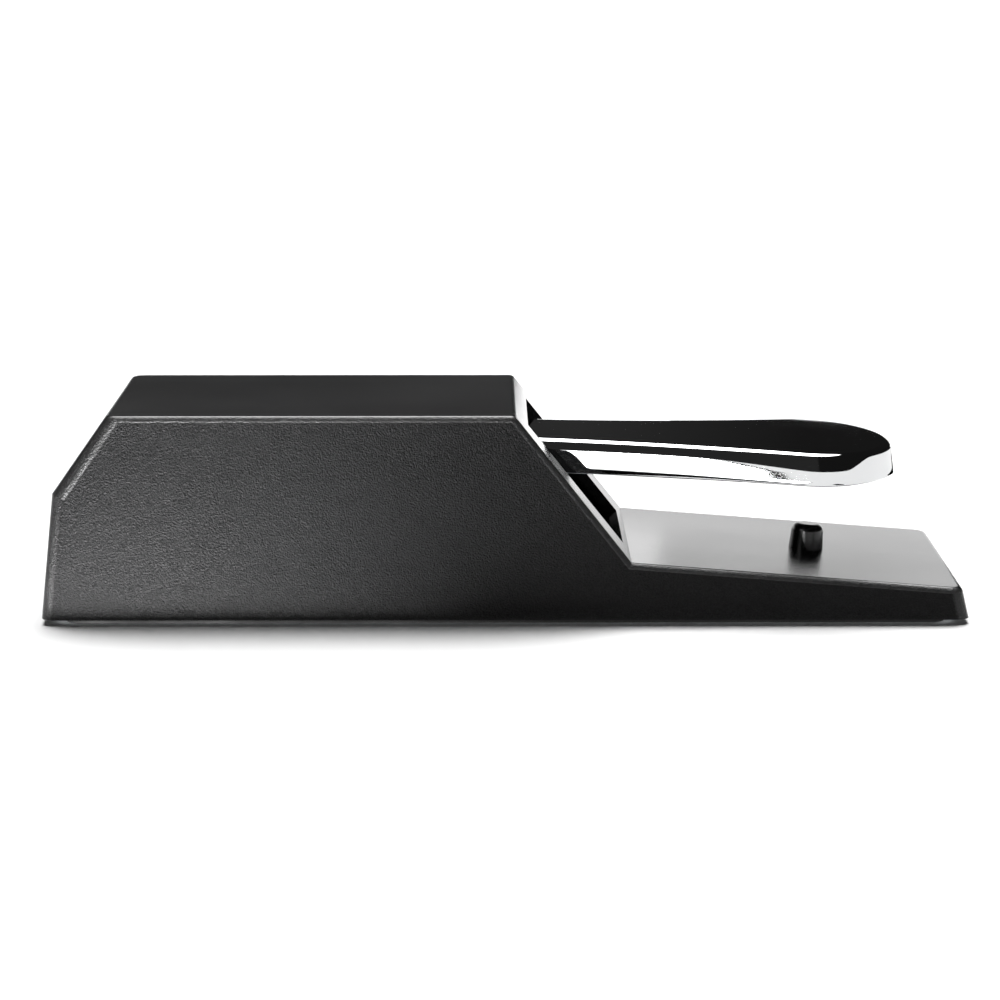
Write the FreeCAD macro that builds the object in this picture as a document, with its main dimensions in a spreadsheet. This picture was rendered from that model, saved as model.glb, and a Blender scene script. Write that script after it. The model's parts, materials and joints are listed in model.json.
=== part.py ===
"""Piano-style sustain pedal: moulded housing, chromed lever, spring, switch and base, in millimetres.

Frame: origin at the middle of the resting face, +X towards the toe, +Z up.
"""
import FreeCAD
import Part
import math
import os
import Sketcher

os.makedirs("parts", exist_ok=True)
doc = FreeCAD.newDocument("sustain_pedal")

# ---------------------------------------------------------------- driving dimensions

SIZES = {
    "housing": {
        "body_length": 258.6, "body_width": 90, "body_height": 58.2, "skirt_z": 1.5, "wall": 2.8,
        "side_draft_deg": 4.1, "rear_break_in": 3.3, "rear_break_z": 36.3, "rear_top_x": -110.5,
        "front_top_x": 2.5, "slope_foot_x": 35.1, "slope_foot_z": 17.3, "toe_top_x": 127.3,
        "toe_top_z": 10.15, "corner_round": 4.0, "edge_round": 1.8,
    },
    "slot": {
        "slot_width": 50, "slot_top_x": 6.4, "slot_top_z": 53.3, "slot_foot_x": 33.3,
        "slot_foot_z": 19.6, "slot_cut": 6,
    },
    "base": {
        "mat_thick": 1.5, "mat_inset": 4, "mat_end_inset": 6.4, "mat_hole_r": 5,
        "plate_thick": 2.0, "plate_gap": 0.4, "plate_end_gap": 1.2,
        "screw_pilot_r": 1.25, "screw_head_r": 2.8, "screw_clear_r": 1.6, "screw_length": 7.0,
        "boss_r": 3.6, "boss_rear_x": -104, "boss_mid_x": -12, "boss_toe_x": 114, "boss_y": 34,
        "rear_boss_top": 56.8, "toe_boss_top": 9.8,
    },
    "lever": {
        "pivot_x": -92, "pivot_z": 41, "lever_tilt_deg": 1.7, "lever_top": 10.45,
        "lever_depth": 9.6, "lever_thick": 1.8, "lever_rear": -14, "lever_half": 18.9,
        "flare_start": 82.4, "flare_round": 285, "shoulder_round": 14.5, "tip_round": 40.4,
        "lever_tip": 204.6, "lever_edge_round": 3.2, "ear_r": 9.0, "hollow_rear": -20,
        "core_inset": 1.9, "core_rise": 1.0, "core_rear": 16, "core_round": 4.5,
    },
    "pivot": {
        "shaft_r": 2.5, "shaft_half": 21.6, "groove_y": 19.3, "groove_wide": 0.7, "groove_r": 2.0,
        "bush_r": 4.0, "bush_bore_r": 2.55, "bush_flange_r": 6.2, "bush_flange_thick": 1.0,
        "clip_r": 4.4, "clip_thick": 0.63, "clip_mouth": 1.4, "ear_gap": 0.2,
        "bracket_thick": 2.5, "bracket_half_length": 14, "bracket_head_half": 5.85,
        "bracket_head_r": 6.5, "bolt_dx": 8, "bolt_dy": 7, "bolt_r": 2.0, "bolt_head_r": 3.7,
        "nut_flats": 7.0, "nut_thick": 3.2, "bolt_length": 8.6,
    },
    "spring": {
        "spring_x": -28, "spring_mean_r": 8.0, "spring_wire_r": 0.9, "spring_turns": 7,
        "spring_top_z": 40.4, "cup_r": 11, "cup_thick": 2.0, "spigot_r": 5.8, "spigot_tall": 4.0,
        "cup_stub_r": 3.0, "cup_lip_tall": 1.5, "cup_lip_thick": 1.4, "core_spigot_tall": 3.0,
        "core_spigot_x": 64,
    },
    "stop": {
        "stop_x": -8, "stop_length": 10, "stop_width": 26, "stop_pad_thick": 3.2,
        "stop_pad_round": 1.5, "stop_foot_z": 52.6, "stop_ceiling_z": 56.6,
    },
    "bumper": {
        "bumper_x": 87.3, "bumper_foot_r": 4.95, "bumper_top_r": 4.45, "bumper_tall": 7.3,
        "bumper_round": 2.0, "bumper_hole_r": 3.15, "bumper_neck_r": 2.85, "bumper_barb_r": 3.9,
        "bumper_tail_r": 2.3, "barb_tall": 2.2, "washer_r": 6.0, "washer_thick": 0.8,
    },
    "switch": {
        "switch_x": -56, "switch_y": 9, "switch_long": 20, "switch_wide": 6.4, "switch_tall": 10,
        "switch_top_z": 36, "switch_hole_r": 1.1, "switch_hole_dx": 4.75, "switch_hole_up": 3.0,
        "leaf_pivot_in": 1.0, "leaf_pivot_up": 0.8, "leaf_long": 18, "leaf_angle_deg": 13.5,
        "leaf_thick": 0.3, "leaf_wide": 3.6, "leaf_pin_r": 0.5, "leaf_pin_gap": 0.05,
        "case_round": 0.6, "horn_margin": 0.8, "horn_cut": 5, "horn_gap": 0.4,
        "plunger_r": 1.1, "plunger_gap": 0.06, "plunger_round": 0.66,
        "plunger_from_pivot": 4.5, "plunger_top_z": 37.35, "plunger_deep": 3.0, "well_deep": 5.2,
        "terminal_tall": 4.5, "terminal_wide": 3.0, "terminal_thick": 0.5, "terminal_dx": 7.5,
        "eye_up": 1.4, "eye_r": 0.6,
        "stand_thick": 1.5, "stand_top_z": 35, "stand_foot": 17, "stand_bolt_y": 2,
        "stand_bolt_dx": 6, "switch_screw_head_r": 1.9, "switch_screw_head": 1.3,
        "switch_screw_end": 1.0,
    },
    "polarity": {
        "polarity_x": 58, "polarity_long": 19, "polarity_case_long": 11, "polarity_wide": 6,
        "polarity_tall": 5, "tab_thick": 0.8, "knob_long": 3.0, "knob_wide": 2.4,
        "knob_travel": 3.0, "knob_low_z": 0.6, "knob_gap": 0.25, "knob_round": 0.4,
        "slider_tall": 2.0, "slider_gap": 0.6,
        "tab_screw_dx": 7.8, "tab_screw_r": 0.8, "tab_screw_head_r": 1.7, "tab_screw_end": 1.2,
        "window_long": 22, "window_wide": 10,
    },
    "inlet": {
        "inlet_z": 16, "cord_bore_r": 3.0, "inlet_hole_r": 4.6, "inlet_flange_r": 6.6,
        "overcut": 1, "inlet_recess_x": -125.6, "inlet_face_x": -127.3, "inlet_pad_r": 9.5,
        "inlet_pad_x": -122.4, "inlet_clip_r": 6.0, "inlet_end_x": -119.4, "inlet_gap": 0.1,
    },
    "ribs": {"rib_thick": 1.8, "rib_half": 36, "rib_foot_z": 4.2, "rib_near_x": 46, "rib_far_x": 101},
    "fasteners": {"drive_part": 0.45, "tip_part": 0.7, "tip_taper_part": 0.3},
}

dims = doc.addObject("Spreadsheet::Sheet", "dims")
row = 1
for section, entries in SIZES.items():
    dims.set("A%d" % row, section)
    row += 1
    for alias, number in entries.items():
        dims.set("A%d" % row, alias)
        dims.set("B%d" % row, str(number))
        dims.setAlias("B%d" % row, alias)
        row += 1
doc.recompute()


def size(alias):
    """The value of one cell of the sheet."""
    return float(dims.get(alias))


# ---------------------------------------------------------------- modelling helpers

Vec = FreeCAD.Vector
nodes = []


def new_body(label):
    """A PartDesign body that becomes one node."""
    body = doc.addObject("PartDesign::Body", label)
    body.Label = label
    nodes.append(body)
    return body


def origin_plane(body, role):
    return next(item for item in body.Origin.OriginFeatures if item.Role == role)


def new_sketch(body, name, role, offset=None):
    """A sketch on one of the body's origin planes, moved along the plane's normal by offset."""
    sketch = body.newObject("Sketcher::SketchObject", name)
    sketch.AttachmentSupport = [(origin_plane(body, role), "")]
    sketch.MapMode = "FlatFace"
    if offset:
        sketch.setExpression("AttachmentOffset.Base.z", offset)
    return sketch


def place_point(sketch, geometry, point, across, up):
    """Holds one point of the geometry at the two expressions, measured from the sketch's origin."""
    start = sketch.getPoint(geometry, point)
    for kind, text, reach in (("DistanceX", across, start.x), ("DistanceY", up, start.y)):
        index = sketch.addConstraint(Sketcher.Constraint(kind, -1, 1, geometry, point, reach))
        sketch.setExpression("Constraints[%d]" % index, text)


def outline(sketch, corners):
    """A closed polygon whose corners sit at pairs of expressions."""
    count = len(corners)
    first = len(sketch.Geometry)
    ring = [Vec(10 * math.cos(2 * math.pi * i / count), 10 * math.sin(2 * math.pi * i / count), 0)
            for i in range(count)]
    for i in range(count):
        sketch.addGeometry(Part.LineSegment(ring[i], ring[(i + 1) % count]), False)
    for i in range(count):
        sketch.addConstraint(Sketcher.Constraint("Coincident", first + i, 2, first + (i + 1) % count, 1))
    for i, (across, up) in enumerate(corners):
        place_point(sketch, first + i, 1, across, up)


def rectangle(sketch, left, right, low, high):
    outline(sketch, [(left, low), (right, low), (right, high), (left, high)])


def circle(sketch, across, up, radius):
    """A circle with its centre and radius at the given expressions."""
    index = sketch.addGeometry(Part.Circle(Vec(1, 1, 0), Vec(0, 0, 1), 2.0), False)
    place_point(sketch, index, 3, across, up)
    rule = sketch.addConstraint(Sketcher.Constraint("Radius", index, 2.0))
    sketch.setExpression("Constraints[%d]" % rule, radius)


def add(body, kind, name, sketch, length=None, symmetric=False, reverse=False):
    """A Pad or Pocket of the sketch; without a length it goes through everything."""
    feature = body.newObject("PartDesign::" + kind, name)
    feature.Profile = sketch
    if length:
        feature.setExpression("Length", length)
    else:
        feature.Type = "ThroughAll"
    if symmetric:
        feature.SideType = "Symmetric"
    feature.Reversed = reverse
    sketch.Visibility = False
    return feature


def revolve(body, name, sketch, kind="Revolution", axis="V_Axis"):
    """A full turn of the sketch about one of its own axes."""
    feature = body.newObject("PartDesign::" + kind, name)
    feature.Profile = sketch
    feature.ReferenceAxis = (sketch, [axis])
    feature.Angle = 360
    return feature


def round_edges(body, name, radius, chosen):
    """Rounds the edges of the body's tip for which chosen(edge) is true."""
    doc.recompute()
    tip = body.Tip
    names = ["Edge%d" % (i + 1) for i, edge in enumerate(tip.Shape.Edges) if chosen(edge)]
    feature = body.newObject("PartDesign::Fillet", name)
    feature.Base = (tip, names)
    feature.setExpression("Radius", radius)
    return feature


def middle(edge):
    return edge.valueAt((edge.FirstParameter + edge.LastParameter) / 2)


def along(edge, axis):
    """Whether a straight edge runs along the axis."""
    ends = edge.Vertexes
    if len(ends) < 2 or edge.Curve.TypeId != "Part::GeomLine":
        return False
    way = (ends[1].Point - ends[0].Point).normalize()
    return abs(way.dot(axis)) > 0.999


def group(label, master, places):
    """One node of separate solids: the master's shape at each place."""
    doc.recompute()
    node = doc.addObject("Part::Feature", label)
    node.Label = label
    copies = []
    for place in places:
        copy = master.Shape.copy()
        copy.Placement = place.multiply(copy.Placement)
        copies.append(copy)
    node.Shape = Part.makeCompound(copies)
    nodes.append(node)
    return node


def new_master(label):
    """A body that is the pattern for a group, and no node itself."""
    body = doc.addObject("PartDesign::Body", label)
    body.Label = label
    return body


def at(x, y, z=0.0):
    return FreeCAD.Placement(Vec(x, y, z), FreeCAD.Rotation())


Y_AXIS = Vec(0, 1, 0)
Z_AXIS = Vec(0, 0, 1)
PLATE_TOP = "dims.mat_thick + dims.plate_thick"
BOSS_COLUMNS = (("rear", "boss_rear_x", "rear_boss_top"), ("mid", "boss_mid_x", "rear_boss_top"),
                ("toe", "boss_toe_x", "toe_boss_top"))
BOSS_PLACES = [(size(column), side * size("boss_y"))
               for _, column, _ in BOSS_COLUMNS for side in (-1, 1)]
PIVOT_BOLTS = [(size("pivot_x") + i * size("bolt_dx"), j * size("bolt_dy")) for i in (-1, 1) for j in (-1, 1)]
STAND_BOLTS = [(size("switch_x") + i * size("stand_bolt_dx"), size("stand_bolt_y")) for i in (-1, 1)]
BRACKET_BOLTS = PIVOT_BOLTS + STAND_BOLTS


# ---------------------------------------------------------------- housing

def housing():
    """One moulded shell: rear block, slanted front with the lever's slot, and low toe platform."""
    body = new_body("housing")
    side = new_sketch(body, "side_profile", "XZ_Plane")
    half = "dims.body_length / 2"
    outline(side, [
        ("-" + half, "dims.skirt_z"),
        ("-" + half + " + dims.rear_break_in", "dims.rear_break_z"),
        ("dims.rear_top_x", "dims.body_height"),
        ("dims.front_top_x", "dims.body_height"),
        ("dims.slope_foot_x", "dims.slope_foot_z"),
        ("dims.toe_top_x", "dims.toe_top_z"),
        (half, "dims.skirt_z"),
    ])
    add(body, "Pad", "block", side, "dims.body_width", symmetric=True)

    draft = new_sketch(body, "side_draft", "YZ_Plane")
    reach = "(dims.body_height * 1.1)"
    for sign in ("", "-"):
        outer = sign + "dims.body_width"
        outline(draft, [
            (sign + "dims.body_width / 2", "0"),
            (outer, "0"),
            (outer, reach),
            (sign + "(dims.body_width / 2 - " + reach + " * tan(dims.side_draft_deg * 1 deg))", reach),
        ])
    add(body, "Pocket", "drafted_sides", draft, "dims.body_length * 2", symmetric=True)

    doc.recompute()
    floor = size("skirt_z")
    block = body.Tip
    names = ["Face%d" % (i + 1) for i, face in enumerate(block.Shape.Faces)
             if abs(face.BoundBox.ZMax - floor) < 1e-6]
    shell = body.newObject("PartDesign::Thickness", "shell")
    shell.Base = (block, names)
    shell.setExpression("Value", "dims.wall")
    shell.Mode = "Skin"
    shell.Join = "Intersection"
    shell.Reversed = True

    skin_y = size("body_width") / 2
    drop = math.tan(math.radians(size("side_draft_deg")))

    def on_side(point):
        return abs(abs(point.y) - (skin_y - drop * point.z)) < 0.01

    def is_corner(edge):
        mid = middle(edge)
        at_rear = mid.x < size("rear_top_x") and mid.z < size("body_height") - 1
        at_toe = mid.x > size("toe_top_x") and mid.z < size("toe_top_z")
        return on_side(mid) and (at_rear or at_toe) and mid.z > floor + 0.1

    round_edges(body, "round_corners", "dims.corner_round", is_corner)

    def outer_rim(edge):
        """The outer edges that are left, apart from the skirt and the foot of the slope."""
        mid = middle(edge)
        ends = [vertex.Point for vertex in edge.Vertexes]
        if mid.z < floor + 0.1 or max(end.z for end in ends) < floor + 0.1:
            return False
        if along(edge, Y_AXIS):
            tops = ((size("rear_top_x"), size("body_height")), (size("front_top_x"), size("body_height")),
                    (size("toe_top_x"), size("toe_top_z")))
            return any(abs(mid.x - x) < 0.2 and abs(mid.z - z) < 0.2 for x, z in tops)
        on_top = all(abs(end.z - size("body_height")) < 0.01 for end in ends)
        sloping = size("front_top_x") - 0.1 < mid.x < size("toe_top_x") and on_side(mid)
        return (on_top and on_side(mid)) or sloping

    round_edges(body, "round_rim", "dims.edge_round", outer_rim)

    lean = math.atan2(size("slot_top_z") - size("slot_foot_z"), size("slot_foot_x") - size("slot_top_x"))
    cut_x = "dims.slot_cut * %.6f" % math.sin(lean)
    cut_z = "dims.slot_cut * %.6f" % math.cos(lean)
    slot = new_sketch(body, "slot_profile", "XZ_Plane")
    outline(slot, [
        ("dims.slot_top_x + " + cut_x, "dims.slot_top_z + " + cut_z),
        ("dims.slot_foot_x + " + cut_x, "dims.slot_foot_z + " + cut_z),
        ("dims.slot_foot_x - " + cut_x, "dims.slot_foot_z - " + cut_z),
        ("dims.slot_top_x - " + cut_x, "dims.slot_top_z - " + cut_z),
    ])
    add(body, "Pocket", "lever_slot", slot, "dims.slot_width", symmetric=True)

    for name, column, ceiling in BOSS_COLUMNS:
        for side, sign in (("far", ""), ("near", "-")):
            tag = "boss_%s_%s" % (name, side)
            foot = new_sketch(body, tag + "_circle", "XY_Plane", PLATE_TOP)
            circle(foot, "dims." + column, sign + "dims.boss_y", "dims.boss_r")
            add(body, "Pad", tag, foot, "dims.%s - (%s)" % (ceiling, PLATE_TOP))

    stop = new_sketch(body, "stop_rib_outline", "XY_Plane", "dims.stop_ceiling_z")
    rectangle(stop, "dims.stop_x - dims.stop_length / 2", "dims.stop_x + dims.stop_length / 2",
              "-dims.stop_width / 2", "dims.stop_width / 2")
    add(body, "Pad", "stop_rib", stop, "dims.stop_ceiling_z - dims.stop_foot_z", reverse=True)

    ceiling = size("toe_top_z") - size("wall") / 2
    fall = (size("slope_foot_z") - size("toe_top_z")) / (size("toe_top_x") - size("slope_foot_x"))
    for name, column in (("near_rib", "rib_near_x"), ("far_rib", "rib_far_x")):
        rib = new_sketch(body, name + "_outline", "XY_Plane", "dims.rib_foot_z")
        rectangle(rib, "dims.%s - dims.rib_thick / 2" % column, "dims.%s + dims.rib_thick / 2" % column,
                  "-dims.rib_half", "dims.rib_half")
        add(body, "Pad", name, rib, "%.4f + %.6f * (dims.toe_top_x - dims.%s) - dims.rib_foot_z"
            % (ceiling, fall, column))

    inlet = new_sketch(body, "inlet_pad_circle", "YZ_Plane", "dims.inlet_pad_x")
    circle(inlet, "0", "dims.inlet_z", "dims.inlet_pad_r")
    add(body, "Pad", "inlet_pad", inlet, "dims.inlet_pad_x - dims.inlet_recess_x", reverse=True)

    bore = new_sketch(body, "inlet_hole_circle", "YZ_Plane", "dims.inlet_pad_x - dims.body_length / 2")
    circle(bore, "0", "dims.inlet_z", "dims.inlet_hole_r")
    add(body, "Pocket", "inlet_hole", bore, "dims.body_length / 2", reverse=True)
    recess = new_sketch(body, "inlet_recess_circle", "YZ_Plane", "-dims.body_length / 2 - dims.overcut")
    circle(recess, "0", "dims.inlet_z", "dims.inlet_flange_r")
    add(body, "Pocket", "inlet_recess", recess,
        "dims.inlet_recess_x + dims.body_length / 2 + dims.overcut", reverse=True)

    pilots = new_sketch(body, "pilot_circles", "XY_Plane", PLATE_TOP)
    for x, y in BOSS_PLACES:
        circle(pilots, "%g" % x, "%g" % y, "dims.screw_pilot_r")
    add(body, "Pocket", "pilot_holes", pilots, "dims.screw_length - dims.plate_thick", reverse=True)

    seat = new_sketch(body, "bumper_hole_circle", "XY_Plane")
    circle(seat, "dims.bumper_x", "0", "dims.bumper_hole_r")
    add(body, "Pocket", "bumper_hole", seat, "dims.body_height", reverse=True)
    return body


def base_plate():
    """The steel plate that closes the housing from below and carries the mechanism."""
    body = new_body("base_plate")
    plan = new_sketch(body, "plate_outline", "XY_Plane", "dims.mat_thick")
    end = "(dims.body_length / 2 - dims.wall - dims.plate_end_gap)"
    side = "(dims.body_width / 2 - dims.wall - dims.plate_gap)"
    rectangle(plan, "-" + end, end, "-" + side, side)
    add(body, "Pad", "sheet", plan, "dims.plate_thick")
    round_edges(body, "plate_corners", "dims.corner_round", lambda edge: along(edge, Z_AXIS))

    window = new_sketch(body, "knob_slot_outline", "XY_Plane", "dims.mat_thick")
    reach = "(dims.knob_long / 2 + dims.knob_gap)"
    rectangle(window, "dims.polarity_x - dims.knob_travel / 2 - " + reach,
              "dims.polarity_x + dims.knob_travel / 2 + " + reach,
              "-dims.knob_wide / 2 - dims.knob_gap", "dims.knob_wide / 2 + dims.knob_gap")
    add(body, "Pocket", "knob_slot", window, reverse=True)

    cup = new_sketch(body, "cup_hole_circle", "XY_Plane", "dims.mat_thick")
    circle(cup, "dims.spring_x", "0", "dims.cup_stub_r")
    add(body, "Pocket", "cup_hole", cup, reverse=True)

    tab_places = [(size("polarity_x") + i * size("tab_screw_dx"), 0) for i in (-1, 1)]
    for name, places, hole_r, head_r in (
            ("base_screw", BOSS_PLACES, "dims.screw_clear_r", "dims.screw_head_r"),
            ("bracket_bolt", BRACKET_BOLTS, "dims.bolt_r", "dims.bolt_head_r"),
            ("tab_screw", tab_places, "dims.tab_screw_r", "dims.tab_screw_head_r")):
        marks = new_sketch(body, name + "_marks", "XY_Plane", "dims.mat_thick")
        for x, y in places:
            circle(marks, "%g" % x, "%g" % y, hole_r)
        doc.recompute()
        hole = body.newObject("PartDesign::Hole", name + "_holes")
        hole.Profile = marks
        hole.Reversed = True
        hole.DepthType = "ThroughAll"
        hole.setExpression("Diameter", "2 * " + hole_r)
        hole.HoleCutType = "Countersink"
        hole.HoleCutCustomValues = True
        hole.setExpression("HoleCutDiameter", "2 * " + head_r)
        hole.HoleCutCountersinkAngle = 90
    return body


def rubber_mat():
    """The non-slip sheet under the plate, with windows for the screws and the polarity switch."""
    body = new_body("rubber_mat")
    plan = new_sketch(body, "mat_outline", "XY_Plane")
    end = "(dims.body_length / 2 - dims.mat_end_inset)"
    side = "(dims.body_width / 2 - dims.mat_inset)"
    rectangle(plan, "-" + end, end, "-" + side, side)
    add(body, "Pad", "mat", plan, "dims.mat_thick")
    round_edges(body, "mat_corners", "dims.corner_round", lambda edge: along(edge, Z_AXIS))

    cuts = new_sketch(body, "mat_windows", "XY_Plane")
    for x, y in BOSS_PLACES:
        circle(cuts, "%g" % x, "%g" % y, "dims.mat_hole_r")
    rectangle(cuts, "dims.polarity_x - dims.window_long / 2", "dims.polarity_x + dims.window_long / 2",
              "-dims.window_wide / 2", "dims.window_wide / 2")
    add(body, "Pocket", "windows", cuts, reverse=True)
    return body


def countersunk(label, shank_r, head_r, length):
    """A countersunk screw standing on its head at the origin, as a master for a group."""
    body = new_master(label)
    half = new_sketch(body, label + "_half", "XZ_Plane")
    cone = "(%s - %s)" % (head_r, shank_r)
    drive = "(%s * dims.drive_part)" % shank_r
    outline(half, [
        ("0", drive), (drive, drive), (drive, "0"), (head_r, "0"), (shank_r, cone),
        (shank_r, length + " - %s * dims.tip_taper_part" % shank_r),
        (shank_r + " * dims.tip_part", length), ("0", length),
    ])
    revolve(body, label + "_turn", half)
    return body


def fasteners_of_the_base():
    """The self-tapping screws of the housing, and the bolts and nuts of the two brackets."""
    foot = size("mat_thick")
    screw = countersunk("screw_master", "dims.screw_pilot_r", "dims.screw_head_r", "dims.screw_length")
    group("base_screws", screw, [at(x, y, foot) for x, y in BOSS_PLACES])
    bolt = countersunk("bolt_master", "dims.bolt_r", "dims.bolt_head_r", "dims.bolt_length")
    group("bracket_bolts", bolt, [at(x, y, foot) for x, y in BRACKET_BOLTS])

    nut = new_master("nut_master")
    plan = new_sketch(nut, "nut_outline", "XY_Plane")
    across = "(dims.nut_flats / 2)"
    corner = "(dims.nut_flats / sqrt(3))"
    outline(plan, [
        (corner, "0"), (corner + " / 2", across), ("-" + corner + " / 2", across),
        ("-" + corner, "0"), ("-" + corner + " / 2", "-" + across), (corner + " / 2", "-" + across),
    ])
    circle(plan, "0", "0", "dims.bolt_r")
    add(nut, "Pad", "nut_body", plan, "dims.nut_thick")
    top = foot + size("plate_thick")
    group("bracket_nuts", nut,
          [at(x, y, top + size("bracket_thick")) for x, y in PIVOT_BOLTS]
          + [at(x, y, top + size("stand_thick")) for x, y in STAND_BOLTS])


# ---------------------------------------------------------------- lever

def lever_frame():
    """The pivot, turned so that local X runs along the lever as it rests."""
    tilt = FreeCAD.Rotation(Y_AXIS, size("lever_tilt_deg"))
    return FreeCAD.Placement(Vec(size("pivot_x"), 0, size("pivot_z")), tilt)


def lever_outline(sketch, inset, rear):
    """Plan of the lever: straight sides, a hollow flare, round shoulders and a wide round toe.

    The whole outline is moved inwards by inset, apart from the rear end.
    """
    inward = size(inset) if inset else 0.0
    back = size(rear)
    half = size("lever_half") - inward
    flare_r = size("flare_round") + inward
    shoulder_r = size("shoulder_round") - inward
    tip_r = size("tip_round") - inward
    flare_c = Vec(size("flare_start"), half + flare_r, 0)
    tip_c = Vec(size("lever_tip") - size("tip_round"), 0, 0)

    far = flare_r + shoulder_r
    near = tip_r - shoulder_r
    span = flare_c.sub(tip_c)
    along_span = (near ** 2 - far ** 2 + span.Length ** 2) / (2 * span.Length)
    aside = math.sqrt(near ** 2 - along_span ** 2)
    unit = Vec(span).normalize()
    shoulder_c = tip_c.add(Vec(unit).multiply(along_span)).add(Vec(unit.y, -unit.x, 0).multiply(aside))
    join_flare = flare_c.add(shoulder_c.sub(flare_c).normalize().multiply(flare_r))
    join_tip = tip_c.add(shoulder_c.sub(tip_c).normalize().multiply(tip_r))

    def mirrored(point):
        return Vec(point.x, -point.y, 0)

    def arc(start, centre, radius, end):
        """The short arc from start to end."""
        bisector = start.add(end).multiply(0.5).sub(centre).normalize()
        return Part.Arc(start, centre.add(bisector.multiply(radius)), end)

    rear_corner = Vec(back, half, 0)
    flare_from = Vec(size("flare_start"), half, 0)
    pieces = [
        Part.LineSegment(mirrored(rear_corner), rear_corner),
        Part.LineSegment(rear_corner, flare_from),
        arc(flare_from, flare_c, flare_r, join_flare),
        arc(join_flare, shoulder_c, shoulder_r, join_tip),
        arc(join_tip, tip_c, tip_r, mirrored(join_tip)),
        arc(mirrored(join_tip), mirrored(shoulder_c), shoulder_r, mirrored(join_flare)),
        arc(mirrored(join_flare), mirrored(flare_c), flare_r, mirrored(flare_from)),
        Part.LineSegment(mirrored(flare_from), mirrored(rear_corner)),
    ]
    for piece in pieces:
        sketch.addGeometry(piece, False)

    def end_at(index, point):
        """Which end of the piece lies at the point."""
        return min((1, 2), key=lambda end: sketch.getPoint(index, end).distanceToPoint(point))

    joints = [rear_corner, flare_from, join_flare, join_tip, mirrored(join_tip), mirrored(join_flare),
              mirrored(flare_from), mirrored(rear_corner)]
    for index, point in enumerate(joints):
        after = (index + 1) % len(pieces)
        kind = "Coincident" if point in (rear_corner, joints[-1]) else "Tangent"
        ends = (index, end_at(index, point), after, end_at(after, point))
        sketch.addConstraint(Sketcher.Constraint(kind, *ends))

    shift = "dims." + inset if inset else "0"
    half_text = "dims.lever_half - " + shift
    place_point(sketch, 0, end_at(0, rear_corner), "dims." + rear, half_text)
    place_point(sketch, 0, end_at(0, mirrored(rear_corner)), "dims." + rear, "-(" + half_text + ")")
    for index, radius in ((2, "dims.flare_round + "), (3, "dims.shoulder_round - "), (4, "dims.tip_round - "),
                          (5, "dims.shoulder_round - "), (6, "dims.flare_round + ")):
        rule = sketch.addConstraint(Sketcher.Constraint("Radius", index, sketch.Geometry[index].Radius))
        sketch.setExpression("Constraints[%d]" % rule, radius + shift)
    place_point(sketch, 4, 3, "dims.lever_tip - dims.tip_round", "0")
    for index, point in ((1, flare_from), (7, mirrored(flare_from))):
        sketch.addConstraint(Sketcher.Constraint("Horizontal", index))
        target = (index, end_at(index, point))
        rule = sketch.addConstraint(Sketcher.Constraint("DistanceX", -1, 1, *target, point.x))
        sketch.setExpression("Constraints[%d]" % rule, "dims.flare_start")


def lever():
    """The chromed steel channel: a wide top with rolled edges, flanges, and ears round the pivot."""
    body = new_body("lever")
    plan = new_sketch(body, "lever_plan", "XY_Plane", "dims.lever_top - dims.lever_depth")
    lever_outline(plan, "", "lever_rear")
    add(body, "Pad", "lever_blank", plan, "dims.lever_depth")
    top = size("lever_top")
    rear = size("lever_rear")
    round_edges(body, "rolled_edge", "dims.lever_edge_round",
                lambda edge: abs(middle(edge).z - top) < 0.01 and middle(edge).x > rear + 0.01)

    hollow = new_sketch(body, "hollow_plan", "XY_Plane", "dims.lever_top - dims.lever_depth")
    lever_outline(hollow, "lever_thick", "hollow_rear")
    add(body, "Pocket", "hollow", hollow, "dims.lever_depth - dims.lever_thick", reverse=True)

    for sign in ("", "-"):
        ear = new_sketch(body, "ear_circle" + ("_far" if sign else "_near"), "XZ_Plane",
                         "dims.lever_half - dims.lever_thick" if not sign else "-dims.lever_half")
        circle(ear, "0", "0", "dims.ear_r")
        add(body, "Pad", "ear" + ("_far" if sign else "_near"), ear, "dims.lever_thick")
    bore = new_sketch(body, "ear_bore_circle", "XZ_Plane")
    circle(bore, "0", "0", "dims.bush_r")
    add(body, "Pocket", "ear_bore", bore, "dims.body_width", symmetric=True)
    body.Placement = lever_frame()
    return body


def lever_core():
    """The moulded block inside the channel: it takes the spring and lands on the bumper."""
    body = new_body("lever_core")
    plan = new_sketch(body, "core_plan", "XY_Plane", "dims.lever_top - dims.lever_depth + dims.core_rise")
    lever_outline(plan, "core_inset", "core_rear")
    add(body, "Pad", "block", plan, "dims.lever_depth - dims.core_rise - dims.lever_thick")
    ceiling = size("lever_top") - size("lever_thick")
    rear = size("core_rear")
    round_edges(body, "core_shoulders", "dims.core_round",
                lambda edge: abs(middle(edge).z - ceiling) < 0.01 and middle(edge).x > rear + 0.01)
    spigot = new_sketch(body, "spring_spigot_circle", "XY_Plane",
                        "dims.lever_top - dims.lever_depth + dims.core_rise")
    circle(spigot, "dims.core_spigot_x", "0", "dims.spigot_r")
    add(body, "Pad", "spring_spigot", spigot, "dims.core_spigot_tall", reverse=True)
    body.Placement = lever_frame()
    return body


# ---------------------------------------------------------------- pivot

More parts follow.
